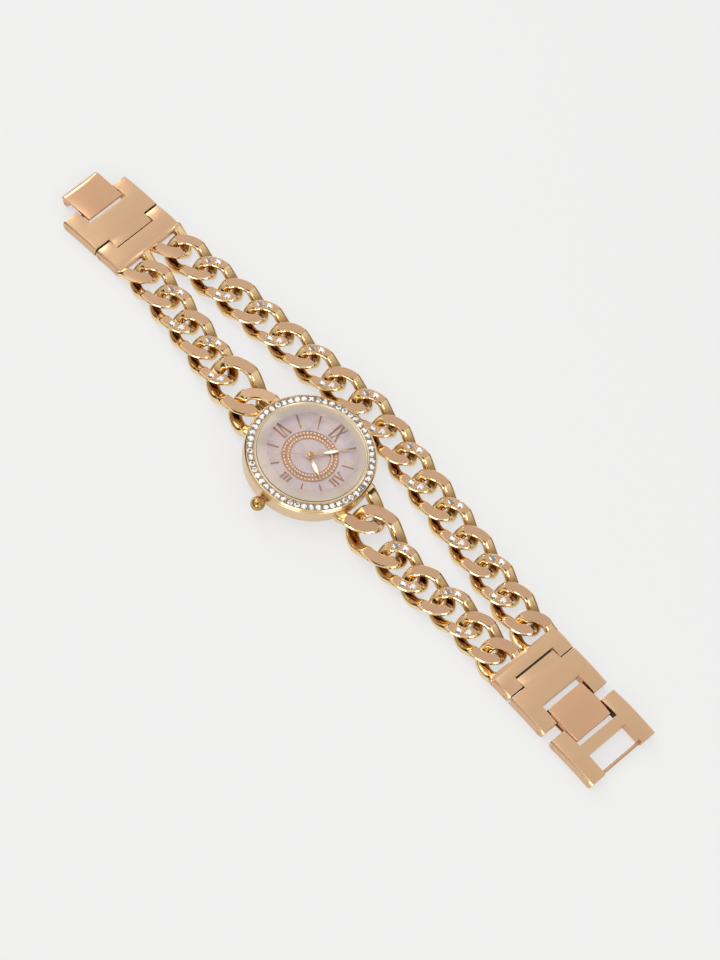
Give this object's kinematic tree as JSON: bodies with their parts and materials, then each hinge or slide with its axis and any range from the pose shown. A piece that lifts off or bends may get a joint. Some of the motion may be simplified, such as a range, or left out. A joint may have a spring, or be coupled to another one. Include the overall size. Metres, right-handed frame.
{
  "type": "bracelet watch",
  "caption": "Round watch on a double row of curb links ending in hinged plates with a fold-over clasp, lying open and flat.",
  "frame": {"origin": "middle of the case back's flat underside", "axes": "+Z out of the dial, +X from 6 to 12 on the dial and along the bracelet, +Y towards 9, so the crown is on -Y"},
  "size_m": [0.1901, 0.0455, 0.008],
  "materials": {
    "gold_polished": "polished gold plate",
    "gold_satin": "satin gold plate",
    "gold_pin": "gold-plated pin",
    "stone": "cut clear stone",
    "crystal": "bevelled watch glass",
    "gasket": "black gasket",
    "dial_face": "pinkish-lilac pearl lacquer",
    "steel": "fine satin steel",
    "holder": "moulded holder"
  },
  "bodies": {
    "case": {"case": "gold_polished", "bezel": "gold_polished", "bezel_crystals": "stone", "glass": "crystal", "glass_gasket": "gasket", "rehaut": "gold_polished", "dial": "dial_face", "dial_markers": "gold_polished", "dial_beads": "gold_polished", "movement": "steel", "movement_holder": "holder", "battery": "steel", "case_back": "steel", "back_gasket": "gasket", "crown_tube": "steel"},
    "hour_hand": {"hour_hand": "gold_polished"},
    "minute_hand": {"minute_hand": "gold_polished"},
    "second_hand": {"second_hand": "gold_polished"},
    "stem": {"stem": "steel"},
    "crown": {"crown": "gold_polished"},
    "left_end_piece": {"left_end_piece": "gold_satin", "left_end_pin": "gold_pin"},
    "left_link": {"left_link": "gold_satin", "left_link_pin": "gold_pin"},
    "clasp_leaf": {"clasp_leaf": "gold_satin", "clasp_pin": "gold_pin"},
    "clasp_cover": {"clasp_cover": "gold_polished"},
    "right_end_piece": {"right_end_piece": "gold_satin", "right_end_pin": "gold_pin"},
    "right_link": {"right_link": "gold_satin", "right_link_pin": "gold_pin"},
    "box_link": {"box_link": "gold_polished"},
    "catch_link": {"catch_link": "gold_satin", "box_pin": "gold_pin", "catch_rod": "gold_pin"},
    "upper_link_01": {"upper_link_01": "gold_polished"},
    "upper_link_02": {"upper_link_02": "gold_polished"},
    "upper_link_03": {"upper_link_03": "gold_polished"},
    "upper_link_04": {"upper_link_04": "gold_polished"},
    "upper_link_05": {"upper_link_05": "gold_polished"},
    "upper_link_06": {"upper_link_06": "gold_polished"},
    "upper_link_07": {"upper_link_07": "gold_polished"},
    "upper_link_08": {"upper_link_08": "gold_polished"},
    "upper_link_09": {"upper_link_09": "gold_polished"},
    "upper_link_10": {"upper_link_10": "gold_polished"},
    "upper_link_11": {"upper_link_11": "gold_polished"},
    "upper_link_12": {"upper_link_12": "gold_polished"},
    "upper_link_13": {"upper_link_13": "gold_polished"},
    "upper_link_14": {"upper_link_14": "gold_polished"},
    "upper_link_15": {"upper_link_15": "gold_polished"},
    "lower_left_link_1": {"lower_left_link_1": "gold_polished"},
    "lower_left_link_2": {"lower_left_link_2": "gold_polished"},
    "lower_left_link_3": {"lower_left_link_3": "gold_polished"},
    "lower_left_link_4": {"lower_left_link_4": "gold_polished"},
    "lower_left_link_5": {"lower_left_link_5": "gold_polished"},
    "lower_right_link_1": {"lower_right_link_1": "gold_polished"},
    "lower_right_link_2": {"lower_right_link_2": "gold_polished"},
    "lower_right_link_3": {"lower_right_link_3": "gold_polished"},
    "lower_right_link_4": {"lower_right_link_4": "gold_polished"},
    "lower_right_link_5": {"lower_right_link_5": "gold_polished"}
  },
  "joints": [
    {"name": "minute_turn", "type": "hinge", "parent": "case", "child": "minute_hand", "pos_m": [0, 0, 0.0045], "axis": [0, 0, -1], "continuous": true},
    {"name": "hour_turn", "type": "hinge", "parent": "case", "child": "hour_hand", "pos_m": [0, 0, 0.0045], "axis": [0, 0, -1], "continuous": true},
    {"name": "second_turn", "type": "hinge", "parent": "case", "child": "second_hand", "pos_m": [0, 0, 0.0045], "axis": [0, 0, -1], "continuous": true},
    {"name": "crown_pull", "type": "slide", "parent": "case", "child": "stem", "axis": [0, -1, 0], "range_m": [0, 0.001]},
    {"name": "crown_turn", "type": "hinge", "parent": "stem", "child": "crown", "pos_m": [0, -0.017, 0.0035], "axis": [0, -1, 0], "continuous": true},
    {"name": "bracelet_wrap", "type": "hinge", "parent": "case", "child": "lower_left_link_1", "pos_m": [-0.01973, 0.00107, 0.00185], "axis": [0, -1, 0], "range_deg": [0, 15]},
    {"name": "lower_left_flex_2", "type": "hinge", "parent": "lower_left_link_1", "child": "lower_left_link_2", "pos_m": [-0.02949, 0.00262, 0.0016], "axis": [0, -1, 0], "range_deg": [0, 8.79]},
    {"name": "lower_left_flex_3", "type": "hinge", "parent": "lower_left_link_2", "child": "lower_left_link_3", "pos_m": [-0.03748, 0.00385, 0.0016], "axis": [0, -1, 0], "range_deg": [0, 12.54]},
    {"name": "lower_left_flex_4", "type": "hinge", "parent": "lower_left_link_3", "child": "lower_left_link_4", "pos_m": [-0.04543, 0.00543, 0.0016], "axis": [0, -1, 0], "range_deg": [0, 12.54]},
    {"name": "lower_left_flex_5", "type": "hinge", "parent": "lower_left_link_4", "child": "lower_left_link_5", "pos_m": [-0.0534, 0.00687, 0.0016], "axis": [0, -1, 0], "range_deg": [0, 12.54]},
    {"name": "lower_left_flex_6", "type": "hinge", "parent": "lower_left_link_5", "child": "left_end_piece", "pos_m": [-0.06142, 0.00792, 0.0016], "axis": [0, -1, 0], "range_deg": [0, 12.54]},
    {"name": "lower_right_flex_1", "type": "hinge", "parent": "case", "child": "lower_right_link_1", "pos_m": [0.01973, -0.00107, 0.00185], "axis": [0, 1, 0], "range_deg": [0, 15.05]},
    {"name": "lower_right_flex_2", "type": "hinge", "parent": "lower_right_link_1", "child": "lower_right_link_2", "pos_m": [0.02946, -0.00287, 0.0016], "axis": [0, 1, 0], "range_deg": [0, 8.79]},
    {"name": "lower_right_flex_3", "type": "hinge", "parent": "lower_right_link_2", "child": "lower_right_link_3", "pos_m": [0.03752, -0.00344, 0.0016], "axis": [0, 1, 0], "range_deg": [0, 12.54]},
    {"name": "lower_right_flex_4", "type": "hinge", "parent": "lower_right_link_3", "child": "lower_right_link_4", "pos_m": [0.04561, -0.00312, 0.0016], "axis": [0, 1, 0], "range_deg": [0, 12.54]},
    {"name": "lower_right_flex_5", "type": "hinge", "parent": "lower_right_link_4", "child": "lower_right_link_5", "pos_m": [0.05369, -0.00305, 0.0016], "axis": [0, 1, 0], "range_deg": [0, 12.54]},
    {"name": "lower_right_flex_6", "type": "hinge", "parent": "lower_right_link_5", "child": "right_end_piece", "pos_m": [0.06175, -0.0038, 0.0016], "axis": [0, 1, 0], "range_deg": [0, 12.54]},
    {"name": "upper_flex_01", "type": "hinge", "parent": "left_end_piece", "child": "upper_link_01", "pos_m": [-0.06137, 0.0194, 0.0016], "axis": [0, 1, 0], "range_deg": [0, 12.56]},
    {"name": "upper_flex_02", "type": "hinge", "parent": "upper_link_01", "child": "upper_link_02", "pos_m": [-0.05301, 0.01965, 0.0016], "axis": [0, 1, 0], "range_deg": [0, 12.98]},
    {"name": "upper_flex_03", "type": "hinge", "parent": "upper_link_02", "child": "upper_link_03", "pos_m": [-0.04465, 0.01989, 0.0016], "axis": [0, 1, 0], "range_deg": [0, 13]},
    {"name": "upper_flex_04", "type": "hinge", "parent": "upper_link_03", "child": "upper_link_04", "pos_m": [-0.03629, 0.02014, 0.0016], "axis": [0, 1, 0], "range_deg": [0, 12.98]},
    {"name": "upper_flex_05", "type": "hinge", "parent": "upper_link_04", "child": "upper_link_05", "pos_m": [-0.02793, 0.02039, 0.0016], "axis": [0, 1, 0], "range_deg": [0, 12.96]},
    {"name": "upper_flex_06", "type": "hinge", "parent": "upper_link_05", "child": "upper_link_06", "pos_m": [-0.01957, 0.02063, 0.0016], "axis": [0, 1, 0], "range_deg": [0, 5.37]},
    {"name": "upper_flex_07", "type": "hinge", "parent": "upper_link_06", "child": "upper_link_07", "pos_m": [-0.01121, 0.02088, 0.0016], "axis": [0, 1, 0], "range_deg": [0, 3.06]},
    {"name": "upper_flex_08", "type": "hinge", "parent": "upper_link_07", "child": "upper_link_08", "pos_m": [-0.00285, 0.02108, 0.0016], "axis": [0, 1, 0], "range_deg": [0, 1.86]},
    {"name": "upper_flex_09", "type": "hinge", "parent": "upper_link_08", "child": "upper_link_09", "pos_m": [0.00543, 0.02037, 0.0016], "axis": [0, 1, 0], "range_deg": [0, 1.21]},
    {"name": "upper_flex_10", "type": "hinge", "parent": "upper_link_09", "child": "upper_link_10", "pos_m": [0.01361, 0.01865, 0.0016], "axis": [0, 1, 0], "range_deg": [0, 1.91]},
    {"name": "upper_flex_11", "type": "hinge", "parent": "upper_link_10", "child": "upper_link_11", "pos_m": [0.02176, 0.0168, 0.0016], "axis": [0, 1, 0], "range_deg": [0, 9.89]},
    {"name": "upper_flex_12", "type": "hinge", "parent": "upper_link_11", "child": "upper_link_12", "pos_m": [0.02992, 0.01495, 0.0016], "axis": [0, 1, 0], "range_deg": [0, 11.56]},
    {"name": "upper_flex_13", "type": "hinge", "parent": "upper_link_12", "child": "upper_link_13", "pos_m": [0.03808, 0.0131, 0.0016], "axis": [0, 1, 0], "range_deg": [0, 12.57]},
    {"name": "upper_flex_14", "type": "hinge", "parent": "upper_link_13", "child": "upper_link_14", "pos_m": [0.04623, 0.01125, 0.0016], "axis": [0, 1, 0], "range_deg": [0, 12.95]},
    {"name": "upper_flex_15", "type": "hinge", "parent": "upper_link_14", "child": "upper_link_15", "pos_m": [0.05439, 0.0094, 0.0016], "axis": [0, 1, 0], "range_deg": [0, 12.95]},
    {"name": "left_end_hinge", "type": "hinge", "parent": "left_end_piece", "child": "left_link", "pos_m": [-0.07211, 0.01372, 0.0013], "axis": [0.0087, -1, 0], "range_deg": [0, 35]},
    {"name": "left_link_hinge", "type": "hinge", "parent": "left_link", "child": "clasp_leaf", "pos_m": [-0.08321, 0.01362, 0.0013], "axis": [0.0087, -1, 0], "range_deg": [0, 45]},
    {"name": "right_end_hinge", "type": "hinge", "parent": "right_end_piece", "child": "right_link", "pos_m": [0.07138, 0.00073, 0.0013], "axis": [0.0785, 0.9969, 0], "range_deg": [0, 35]},
    {"name": "right_link_hinge", "type": "hinge", "parent": "right_link", "child": "box_link", "pos_m": [0.08244, -0.00014, 0.0013], "axis": [0.0785, 0.9969, 0], "range_deg": [0, 25]},
    {"name": "box_hinge", "type": "hinge", "parent": "box_link", "child": "catch_link", "pos_m": [0.08708, -0.00051, 0.0013], "axis": [0.0785, 0.9969, 0], "range_deg": [0, 25]},
    {"name": "clasp_cover_hinge", "type": "hinge", "parent": "clasp_leaf", "child": "clasp_cover", "pos_m": [-0.0884, 0.01358, 0.0013], "axis": [0.0087, -1, 0], "range_deg": [0, 140]}
  ],
  "couplings": [
    {"joint": "hour_turn", "follows": "minute_turn", "ratio": 0.083333},
    {"joint": "lower_left_flex_2", "follows": "bracelet_wrap", "ratio": 0.583},
    {"joint": "lower_left_flex_3", "follows": "bracelet_wrap", "ratio": 0.833},
    {"joint": "lower_left_flex_4", "follows": "bracelet_wrap", "ratio": 0.833},
    {"joint": "lower_left_flex_5", "follows": "bracelet_wrap", "ratio": 0.833},
    {"joint": "lower_left_flex_6", "follows": "bracelet_wrap", "ratio": 0.833},
    {"joint": "lower_right_flex_1", "follows": "bracelet_wrap", "ratio": 1},
    {"joint": "lower_right_flex_2", "follows": "bracelet_wrap", "ratio": 0.583},
    {"joint": "lower_right_flex_3", "follows": "bracelet_wrap", "ratio": 0.833},
    {"joint": "lower_right_flex_4", "follows": "bracelet_wrap", "ratio": 0.833},
    {"joint": "lower_right_flex_5", "follows": "bracelet_wrap", "ratio": 0.833},
    {"joint": "lower_right_flex_6", "follows": "bracelet_wrap", "ratio": 0.833},
    {"joint": "upper_flex_01", "follows": "bracelet_wrap", "ratio": 0.834},
    {"joint": "upper_flex_02", "follows": "bracelet_wrap", "ratio": 0.862},
    {"joint": "upper_flex_03", "follows": "bracelet_wrap", "ratio": 0.863},
    {"joint": "upper_flex_04", "follows": "bracelet_wrap", "ratio": 0.862},
    {"joint": "upper_flex_05", "follows": "bracelet_wrap", "ratio": 0.861},
    {"joint": "upper_flex_06", "follows": "bracelet_wrap", "ratio": 0.355},
    {"joint": "upper_flex_07", "follows": "bracelet_wrap", "ratio": 0.201},
    {"joint": "upper_flex_08", "follows": "bracelet_wrap", "ratio": 0.121},
    {"joint": "upper_flex_09", "follows": "bracelet_wrap", "ratio": 0.077},
    {"joint": "upper_flex_10", "follows": "bracelet_wrap", "ratio": 0.124},
    {"joint": "upper_flex_11", "follows": "bracelet_wrap", "ratio": 0.656},
    {"joint": "upper_flex_12", "follows": "bracelet_wrap", "ratio": 0.767},
    {"joint": "upper_flex_13", "follows": "bracelet_wrap", "ratio": 0.835},
    {"joint": "upper_flex_14", "follows": "bracelet_wrap", "ratio": 0.86},
    {"joint": "upper_flex_15", "follows": "bracelet_wrap", "ratio": 0.86}
  ]
}
